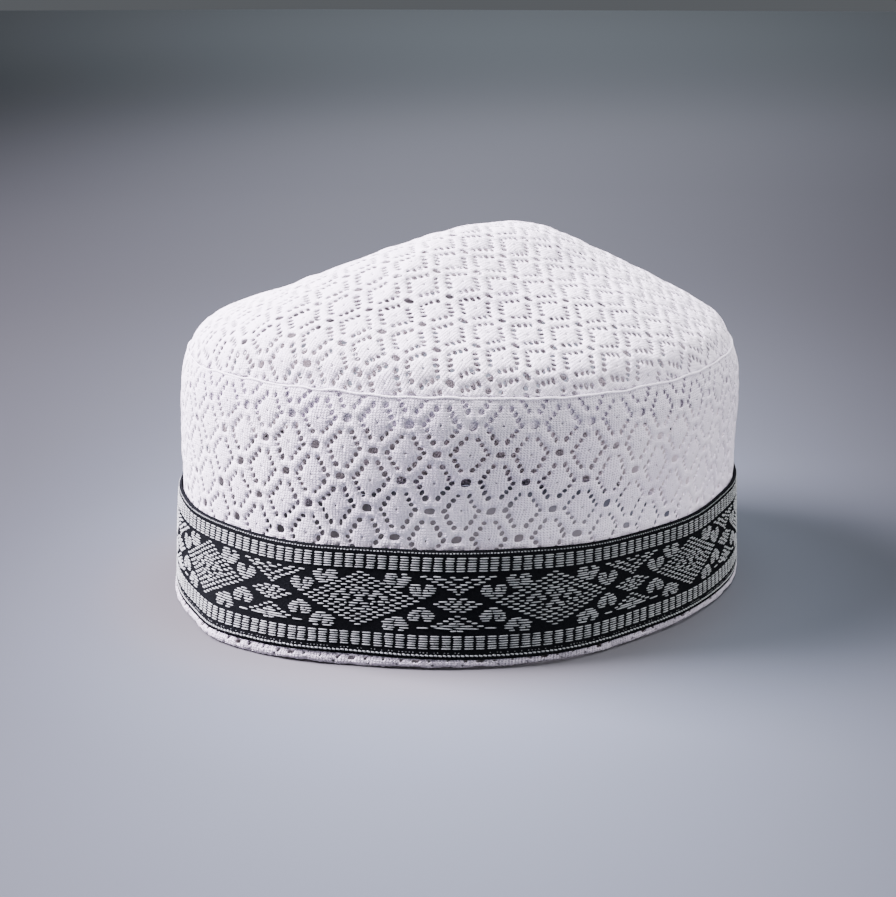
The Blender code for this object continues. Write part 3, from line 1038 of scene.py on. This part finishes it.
def make_ribbon_ground():
    """The ribbon itself: turned in at its very edges, with a low ridge beside each."""
    width = RIBBON_TOP - RIBBON_BOTTOM

    def place(turn, part):
        depth = width * (1 - part)
        from_edge = np.minimum(depth, width - depth)
        outward = 0.0
        for ridge in RIBBON_RIDGES:
            outward = outward + ridge.height * np.exp(-(((from_edge - ridge.place) / ridge.reach) ** 2))
        return ribbon_drape(turn * RIBBON_OVAL.girth, depth, outward)

    size = (RIBBON_OVAL.girth, width)
    ground = ring_mesh("ribbon_ground", 480, 64, place, material=RIBBON_WEAVE, size=size)
    return thicken(ground, RIBBON_THICKNESS)


Thread = namedtuple("Thread", "along depth length width lift tilt shade")


def motif_threads(spans, middle, depth, chance, side=1, upright=1, pitch=FLOAT_ROW):
    """Threads for one motif, mirrored left to right by side and top to bottom by upright."""
    threads = []
    for span in spans:
        low, high = sorted((side * span.start, side * span.end))
        row = depth + upright * span.row * pitch
        tilt = chance.normal(0, ROW_TILT)
        parts = [(low, high)]
        if high - low > FLOAT_LONGEST:
            split = low + (high - low) * chance.uniform(*PARTED_AT)
            parts = [(low, split - FLOAT_PARTING), (split + FLOAT_PARTING, high)]
        for start, end in parts:
            length = end - start + chance.normal(0, FLOAT_STRAY.length)
            threads.append(Thread(
                middle + (start + end) / 2 + chance.normal(0, FLOAT_STRAY.along),
                row + chance.normal(0, FLOAT_STRAY.depth), max(length, FLOAT_SHORTEST), FLOAT_WIDTH,
                FLOAT_LIFT, tilt + chance.normal(0, FLOAT_STRAY.tilt), chance.uniform(*FLOAT_SHADES),
            ))
    return threads


def lozenge_spans():
    """The dashes of one lozenge, laid like bricks round its four eyes."""
    eyes = [
        Span(span.row + place.row, place.along + span.start, place.along + span.end)
        for place in LOZENGE_EYE_PLACES for span in LOZENGE_EYE
    ]
    bricks = []
    for tip in LOZENGE_TIPS:
        for row in range(-tip, tip + 1):
            place = (tip - abs(row)) * LOZENGE_STEP
            for middle in sorted({-place, place}):
                start = middle - LOZENGE_DASH / 2
                end = middle + LOZENGE_DASH / 2
                for eye in eyes:
                    if eye.row != row or start > eye.end + LOZENGE_GAP or end < eye.start - LOZENGE_GAP:
                        continue
                    if middle > (eye.start + eye.end) / 2:
                        start = eye.end + LOZENGE_GAP
                    else:
                        end = eye.start - LOZENGE_GAP
                if end - start > SHORTEST_DASH:
                    bricks.append(Span(row, start, end))
    return eyes + bricks


def ribbon_threads():
    """Every raised thread of the ribbon's pattern, from one end of the ribbon to the other."""
    chance = np.random.default_rng(PATTERN_SEED)
    high = RIBBON_OVAL.girth / 2 - RIBBON_JOIN
    threads = []
    lozenge = lozenge_spans()
    for number in range(-7, 7):
        middle = LOZENGE_PLACE + number * PATTERN_REPEAT
        threads += motif_threads(lozenge, middle, LOZENGE_DEPTH, chance, pitch=LOZENGE_ROW)
        threads += motif_threads(HOURGLASS, middle - PATTERN_REPEAT / 2, HOURGLASS_DEPTH, chance)
        for side in (-1, 1):
            for upright in (-1, 1):
                for motif, along, up_down, shift, turned in BESIDE_LOZENGE:
                    place = middle + side * along
                    depth = HOURGLASS_DEPTH - upright * up_down + shift
                    threads += motif_threads(motif, place, depth, chance, turned * side, upright)
    for block in range(int(RIBBON_OVAL.girth / LADDER_PITCH)):
        for top in LADDER_TOPS:
            middle = (block + 0.5) * LADDER_PITCH - high + chance.normal(0, LADDER_DRIFT)
            for row in range(LADDER_ROWS):
                threads.append(Thread(
                    middle + chance.normal(0, LADDER_STRAY.along),
                    top + row * LADDER_ROW + chance.normal(0, LADDER_STRAY.depth),
                    LADDER_WIDTH + chance.normal(0, LADDER_STRAY.length), FLOAT_WIDTH, FLOAT_LIFT,
                    chance.normal(0, LADDER_STRAY.tilt), chance.uniform(*FLOAT_SHADES),
                ))
    return [thread for thread in threads if -high < thread.along < high]


def edge_threads():
    """The fine stitched lines along the ribbon's two edges."""
    chance = np.random.default_rng(EDGING_SEED)
    threads = []
    for line in EDGE_LINES:
        for step in range(int(RIBBON_OVAL.girth / line.pitch)):
            thread = Thread(
                (step + line.start) * line.pitch - RIBBON_OVAL.girth / 2,
                line.depth + chance.normal(0, line.stray), line.length, line.width, line.lift,
                chance.normal(line.tilt, line.twist), chance.uniform(line.faint, line.bright),
            )
            if not line.missing or chance.random() > line.missing:
                threads.append(thread)
    return threads


def thread_bar():
    """A low rounded bar one unit long, wide and high, tapered down at both ends."""
    stations = ((-0.5, 0.35, 0.0), (-0.36, 0.9, 0.85), (0.0, 1.0, 1.0), (0.36, 0.9, 0.85), (0.5, 0.35, 0.0))
    rim = ((-0.5, -0.15), (-0.34, 0.75), (0.0, 1.0), (0.34, 0.75), (0.5, -0.15))
    points = [(x, y * wide, z * high) for x, wide, high in stations for y, z in rim]
    faces = []
    for station in range(len(stations) - 1):
        for step in range(len(rim) - 1):
            first = station * len(rim) + step
            faces.append((first, first + len(rim), first + len(rim) + 1, first + 1))
    mesh = bpy.data.meshes.new("thread_bar")
    mesh.from_pydata(points, [], faces)
    mesh.shade_smooth()
    return add_object("thread_bar", mesh)


def weave_threads(name, threads):
    """Raised threads on the ribbon, woven flat by the node tree and then laid round the cap."""
    mesh = bpy.data.meshes.new(name)
    mesh.from_pydata([(thread.along, thread.depth, 0.0) for thread in threads], [], [])
    for label in ("length", "width", "lift", "tilt", "shade"):
        layer = mesh.attributes.new(label, "FLOAT", "POINT")
        layer.data.foreach_set("value", [getattr(thread, label) for thread in threads])
    bar = thread_bar()
    woven = run_tree(name, mesh, THREAD_TREE, {"Thread": bar, "Fullness": 1.0, "Yarn": PALE_YARN})
    bpy.data.objects.remove(bar, do_unlink=True)
    flat = np.empty(len(woven.vertices) * 3)
    woven.vertices.foreach_get("co", flat)
    along, depth, lift = flat.reshape(-1, 3).T
    points = ribbon_drape(along, depth, lift + FLOAT_CLEARANCE)
    woven.vertices.foreach_set("co", (points * MM).astype(np.float32).ravel())
    woven.flip_normals()
    woven.update()
    woven.shade_smooth()
    return add_object(name, woven)


# Materials

SHEEN_ROUGHNESS = 0.5
LIGHT_DEPTH = 0.0014

# Knitted loops: waves of ribs and of leaning courses, fibres drawn out both ways, and fuzz
RIB_DEPTH = 0.36
COURSE_DEPTH = 0.25
COURSE_LEAN = 0.9
FIBRE_STRETCHES = ((2000.0, 420.0, 1.0), (420.0, 2000.0, 1.0))
FUZZ_SCALE = 1300.0
FUZZ_DEPTH = 1.1
FUZZ_SHADE = 0.9
LOOP_SHADE = 0.05
SHADE_LEVEL = -0.40
CLOUD_SCALE = 60.0

# Painted shade: the lace's inner side is darkened and warmed, for the shade inside the cap that shows
# through the eyelets
INNER_PAINTED_SHADE = (0.60, 0.565, 0.565)
INNER_TURN = 2.5
COTTON_SHEEN = 0.15
COTTON_TRANSLUCENCE = 0.65
COTTON_BUMP = 0.8
CLOUD_CONTRAST = 1.6
CLOUD_FLOOR = 0.02
BLACK_WEFT = (0.0030, 0.0034, 0.0038)
GREY_FLECK = (0.034, 0.037, 0.040)
YARN_DARK = (0.02, 0.021, 0.024)
YARN_PALE = (0.35, 0.378, 0.36)
YARN_SCALE = 2500.0
YARN_CONTRAST = 1.3
YARN_FLOOR = 0.33
WEAVE_SCALE = 1500.0
WEAVE_DEPTH = 0.5
RIBBON_BUMP = 0.00008


def knit_group():
    """Rows of small knitted loops: their height, and a soft shade between them."""
    tree, start, end = new_group("ShaderNodeTree", "knitted loops", {
        "Flat Cloth": ("NodeSocketVector", None),
        "Rib Width": ("NodeSocketFloat", 0.00089),
        "Course Height": ("NodeSocketFloat", 0.00066),
    }, {"Height": "NodeSocketFloat", "Shade": "NodeSocketFloat"})
    flat = start["Flat Cloth"]
    split = add_node(tree, "ShaderNodeSeparateXYZ", {"Vector": flat})
    fuzz = noise(tree, flat, FUZZ_SCALE, 3.0)
    fibres = 0.0
    for stretch in FIBRE_STRETCHES:
        drawn = vector_node(tree, "MULTIPLY", flat, stretch)
        fibres = math_node(tree, "ADD", noise(tree, drawn, 1.0, 1.0), fibres)
    course = even_waves(tree, split["Y"], start["Course Height"])
    lean = math_node(tree, "MULTIPLY", course, COURSE_LEAN)
    rib = even_waves(tree, split["X"], start["Rib Width"], lean)
    courses = math_node(tree, "MULTIPLY", course, COURSE_DEPTH)
    loops = math_node(tree, "MULTIPLY_ADD", rib, RIB_DEPTH, courses)
    grain = math_node(tree, "MULTIPLY_ADD", fuzz, FUZZ_DEPTH, fibres)
    tree.links.new(math_node(tree, "ADD", loops, grain), end["Height"])
    woolly = math_node(tree, "ADD", fuzz, fibres)
    woolly = math_node(tree, "MULTIPLY_ADD", woolly, FUZZ_SHADE, SHADE_LEVEL)
    tree.links.new(math_node(tree, "MULTIPLY_ADD", loops, LOOP_SHADE, woolly), end["Shade"])
    return tree


def weave_group():
    """A close ribbed weave: fine rows along the ribbon with small pale flecks of the pattern yarn."""
    tree, start, end = new_group("ShaderNodeTree", "ribbed weave", {
        "Flat Cloth": ("NodeSocketVector", None),
        "Row Height": ("NodeSocketFloat", 0.00034),
        "Warp Width": ("NodeSocketFloat", 0.00045),
    }, {"Height": "NodeSocketFloat", "Fleck": "NodeSocketFloat"})
    split = add_node(tree, "ShaderNodeSeparateXYZ", {"Vector": start["Flat Cloth"]})
    row = even_waves(tree, split["Y"], start["Row Height"])
    warp = even_waves(tree, split["X"], start["Warp Width"])
    crossed = math_node(tree, "MULTIPLY", row, warp)
    grain = noise(tree, start["Flat Cloth"], WEAVE_SCALE, 2.0)
    tree.links.new(math_node(tree, "MULTIPLY_ADD", crossed, WEAVE_DEPTH, grain), end["Height"])
    raised = math_node(tree, "MAXIMUM", crossed, 0.0)
    tree.links.new(math_node(tree, "MULTIPLY", raised, grain), end["Fleck"])
    return tree


def new_material(name, roughness, sheen=0.0, translucent=0.0, gloss=0.3):
    material = bpy.data.materials.new(name)
    material.use_nodes = True
    shader = material.node_tree.nodes["Principled BSDF"].inputs
    for label, value in (
        ("Roughness", roughness), ("Sheen Weight", sheen), ("Sheen Roughness", SHEEN_ROUGHNESS),
        ("Specular IOR Level", gloss), ("Subsurface Weight", translucent),
        ("Subsurface Radius", (1.0, 1.0, 1.0)), ("Subsurface Scale", LIGHT_DEPTH),
    ):
        shader[label].default_value = value
    return material, material.node_tree, shader


def add_bump(tree, shader, height, distance, strength=1.0):
    inputs = {"Strength": strength, "Distance": distance, "Height": height}
    tree.links.new(add_node(tree, "ShaderNodeBump", inputs)["Normal"], shader["Normal"])


def cloth_group(tree, group):
    """A shared cloth effect, laid along the piece's own flat cloth."""
    flat = add_node(tree, "ShaderNodeUVMap", {}, uv_map="flat_cloth")
    return add_node(tree, "ShaderNodeGroup", {"Flat Cloth": flat["UV"]}, node_tree=group)


def piece_place(tree):
    return add_node(tree, "ShaderNodeTexCoord", {})["Object"]


def own_value(tree, name):
    """A value that the piece's own mesh carries."""
    return add_node(tree, "ShaderNodeAttribute", {}, attribute_name=name)["Fac"]


def white_cloth(name, tone, deep_tone, roughness, bump):
    """White knitted cotton, with small loops and a faint cloudiness, and painted shade on its inner side."""
    material, tree, shader = new_material(name, roughness, COTTON_SHEEN, COTTON_TRANSLUCENCE)
    knit = cloth_group(tree, KNIT_GROUP)
    cloud = noise(tree, piece_place(tree), CLOUD_SCALE, 4.0)
    amount = math_node(tree, "MULTIPLY", cloud, knit["Shade"])
    amount = math_node(tree, "MULTIPLY_ADD", amount, CLOUD_CONTRAST, CLOUD_FLOOR)
    outer = mix_tones(tree, amount, deep_tone, tone)
    # painted shade: the inner side is mixed towards the darker, warmer inner tone
    inner_side = math_node(tree, "POWER", own_value(tree, "inner_side"), INNER_TURN)
    tree.links.new(mix_tones(tree, inner_side, outer, INNER_PAINTED_SHADE), shader["Base Color"])
    add_bump(tree, shader, knit["Height"], bump, COTTON_BUMP)
    return material


def ribbon_cloth(name):
    """The ribbon's black ground, close woven, with a few pale flecks."""
    material, tree, shader = new_material(name, 0.75, gloss=0.0)
    weave = cloth_group(tree, WEAVE_GROUP)
    tree.links.new(mix_tones(tree, weave["Fleck"], BLACK_WEFT, GREY_FLECK), shader["Base Color"])
    add_bump(tree, shader, weave["Height"], RIBBON_BUMP)
    return material


def pattern_yarn(name):
    """The pale grey yarn of the ribbon's pattern. Each float has its own brightness."""
    material, tree, shader = new_material(name, 0.7, gloss=0.05)
    fibre = noise(tree, piece_place(tree), YARN_SCALE, 2.0)
    fibres = math_node(tree, "MULTIPLY_ADD", fibre, YARN_CONTRAST, YARN_FLOOR)
    level = math_node(tree, "MULTIPLY", own_value(tree, "shade"), fibres)
    tree.links.new(mix_tones(tree, level, YARN_DARK, YARN_PALE), shader["Base Color"])
    add_bump(tree, shader, fibre, RIBBON_BUMP)
    return material


# Studio

CAMERA_PLACE = (0.3356, -0.4036, 0.1763)
CAMERA_AIM = (-0.6245, 0.7386, -0.2542)
CAMERA_LENS = 68.30

Softbox = namedtuple("Softbox", "name place size power tint")
SOFTBOXES = (
    Softbox("key_softbox", (-0.75, -0.50, 0.80), 0.7, 170.0, (0.93, 0.82, 1.0)),
    Softbox("top_softbox", (0.05, 0.15, 1.1), 0.8, 26.0, (0.95, 0.90, 1.0)),
    Softbox("fill_softbox", (0.95, 0.35, 0.30), 0.6, 9.4, (0.96, 0.91, 1.0)),
)
SOFTBOX_AIM = (0.0, 0.0, 0.05)
ROOM_TONE = (0.52, 0.52, 0.60, 1.0)
ROOM_STRENGTH = 0.40
BACKDROP_TONE = (0.105, 0.112, 0.122, 1.0)

# Painted light on the floor: tones against distance d from its middle, as a share d / (d + FLOOR_SCALE),
# giving painted shade beneath the cap, a painted pool of light round it that dims outwards and a painted
# glow far out; and its painted band of light
FLOOR_PAINTED_LIGHT = (
    (0.05, 0.040), (0.12, 0.060), (0.19, 0.128), (0.23, 0.108), (0.30, 0.085), (0.40, 0.062), (0.52, 0.047),
    (0.62, 0.038), (0.70, 0.049), (0.77, 0.080), (0.83, 0.170), (0.89, 0.45), (0.95, 0.88), (0.99, 0.70),
)
FLOOR_SIZE = 30000.0
FLOOR_SCALE = 0.35
FLOOR_MIDDLE = (0.0, -0.02, 0.0)
FLOOR_ACROSS = (0.7636, 0.6457, 0.0)
# Painted light: the pool's tint, bluer and less red near the cap and less blue far out; the painted shade
# beneath the cap stays neutral
FLOOR_NEUTRAL = 0.2
FLOOR_RED = (0.79, 0.09)
FLOOR_BLUE = (1.24, -0.26)
# Painted light: how fast the floor darkens to each side of its painted band of light
PAINTED_BAND_NARROWNESS = -11.0
PAINTED_BAND_LEAN = 0.9
PAINTED_BAND_DARKEST = -1.2


def floor_material():
    """A pale floor with painted light: lightest along a broad band that runs from the camera's side past the
    cap, in a painted pool round the cap, with painted shade beneath it.
    """
    material, tree, shader = new_material("studio_floor", 0.85)
    away = vector_node(tree, "SUBTRACT", piece_place(tree), FLOOR_MIDDLE)
    reach = vector_node(tree, "LENGTH", away, result="Value")
    spread = math_node(tree, "ADD", reach, FLOOR_SCALE)
    across = vector_node(tree, "DOT_PRODUCT", away, FLOOR_ACROSS, result="Value")
    aside = math_node(tree, "DIVIDE", across, spread)
    # painted light: the floor darkens to each side of the band
    fall = math_node(tree, "MULTIPLY_ADD", aside, PAINTED_BAND_NARROWNESS, PAINTED_BAND_LEAN)
    fall = math_node(tree, "MAXIMUM", math_node(tree, "MULTIPLY", aside, fall), PAINTED_BAND_DARKEST)
    # painted light: the ramp paints shade beneath the cap, the pool of light round it and the glow far out
    ramp = tree.nodes.new("ShaderNodeValToRGB")
    ramp.color_ramp.interpolation = "B_SPLINE"
    stops = ramp.color_ramp.elements
    for share, level in FLOOR_PAINTED_LIGHT:
        red, blue = 1.0, 1.0
        if share >= FLOOR_NEUTRAL:
            red, blue = (start + share * rise for start, rise in (FLOOR_RED, FLOOR_BLUE))
        stops.new(share).color = (level * red, level, level * blue, 1.0)
    stops.remove(stops[0])
    stops.remove(stops[-1])
    tree.links.new(math_node(tree, "DIVIDE", reach, spread), ramp.inputs["Fac"])
    tone = vector_node(tree, "SCALE", ramp.outputs["Color"])
    tree.links.new(math_node(tree, "EXPONENT", fall), tone.node.inputs["Scale"])
    tree.links.new(tone, shader["Base Color"])
    return material


def make_floor():
    size = FLOOR_SIZE
    corners = np.array([(-size, -size, 0.0), (size, -size, 0.0), (size, size, 0.0), (-size, size, 0.0)])
    make_object("studio_floor", corners, [(0, 1, 2, 3)], material=floor_material())


def face(item, place, direction):
    """Put a camera or a light at a place, looking in a direction."""
    item.location = place
    item.rotation_euler = Vector(direction).to_track_quat("-Z", "Y").to_euler()


def make_camera():
    camera = bpy.data.cameras.new("camera")
    camera.sensor_fit = "HORIZONTAL"
    camera.sensor_width = 36.0
    camera.lens = CAMERA_LENS
    camera.clip_start = 0.01
    item = add_object("camera", camera)
    face(item, CAMERA_PLACE, CAMERA_AIM)
    bpy.context.scene.camera = item


def make_light(softbox):
    light = bpy.data.lights.new(softbox.name, "AREA")
    light.shape = "SQUARE"
    light.size = softbox.size
    light.energy = softbox.power
    light.color = softbox.tint
    face(add_object(softbox.name, light), softbox.place, Vector(SOFTBOX_AIM) - Vector(softbox.place))


def make_room():
    """Soft light from all round, and a darker backdrop where the camera sees past the floor."""
    world = bpy.data.worlds.new("studio")
    world.use_nodes = True
    tree = world.node_tree
    room = tree.nodes["Background"]
    room.inputs["Color"].default_value = ROOM_TONE
    room.inputs["Strength"].default_value = ROOM_STRENGTH
    backdrop = add_node(tree, "ShaderNodeBackground", {"Color": BACKDROP_TONE})
    seen = add_node(tree, "ShaderNodeLightPath", {})
    mix = add_node(tree, "ShaderNodeMixShader", {
        "Fac": seen["Is Camera Ray"], 1: room.outputs["Background"], 2: backdrop["Background"],
    })
    tree.links.new(mix["Shader"], tree.nodes["World Output"].inputs["Surface"])
    bpy.context.scene.world = world


make_floor()
make_camera()
for softbox in SOFTBOXES:
    make_light(softbox)
make_room()

KNIT_GROUP = knit_group()
WEAVE_GROUP = weave_group()
WHITE_LACE = white_cloth("white_lace", (0.94, 0.88, 0.995), (0.66, 0.615, 0.72), 0.85, 0.00028)
BAND_LACE = white_cloth("band_lace", (0.94, 0.88, 0.995), (0.60, 0.56, 0.655), 0.85, 0.00034)
# Painted shade: the hem's lace is darkened well below the band's white, and its mottle runs far darker, for
# the shade at the foot of the cap
SHADED_HEM_LACE = white_cloth("hem_lace", (0.62, 0.585, 0.65), (0.13, 0.125, 0.14), 0.9, 0.0007)
WHITE_SEAM = white_cloth("white_seam", (0.935, 0.88, 0.99), (0.85, 0.80, 0.90), 0.75, 0.00008)
RIBBON_WEAVE = ribbon_cloth("ribbon_weave")
PALE_YARN = pattern_yarn("pattern_yarn")
LACE_TREE = lace_tree()
THREAD_TREE = thread_tree()

band = thicken(close_joins(make_band_lace()), LACE_THICKNESS)
foot = thicken(make_band_foot(), LACE_THICKNESS)
crown = thicken(close_joins(make_crown_lace()), LACE_THICKNESS)
turned_edge = make_turned_edge()
rolled_seam = make_rolled_seam()
hem = thicken(close_joins(make_hem()), LACE_THICKNESS)
ribbon = make_ribbon_ground()
pattern = weave_threads("ribbon_pattern", ribbon_threads())
edging = weave_threads("ribbon_edging", edge_threads())

for piece, slot_name, node in (
    (band, "side_band", "side_band"),
    (foot, "side_band", "side_band"),
    (hem, "side_band", "side_band"),
    (crown, "crown", "crown"),
    (turned_edge, "seam_allowance", "seam_allowance"),
    (rolled_seam, "seam_roll", "seam_roll"),
    (ribbon, "ribbon_trim", "ribbon_trim"),
    (pattern, "ribbon_trim", "ribbon_trim"),
    (edging, "ribbon_trim", "ribbon_trim"),
):
    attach(piece, "root")
    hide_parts(node)
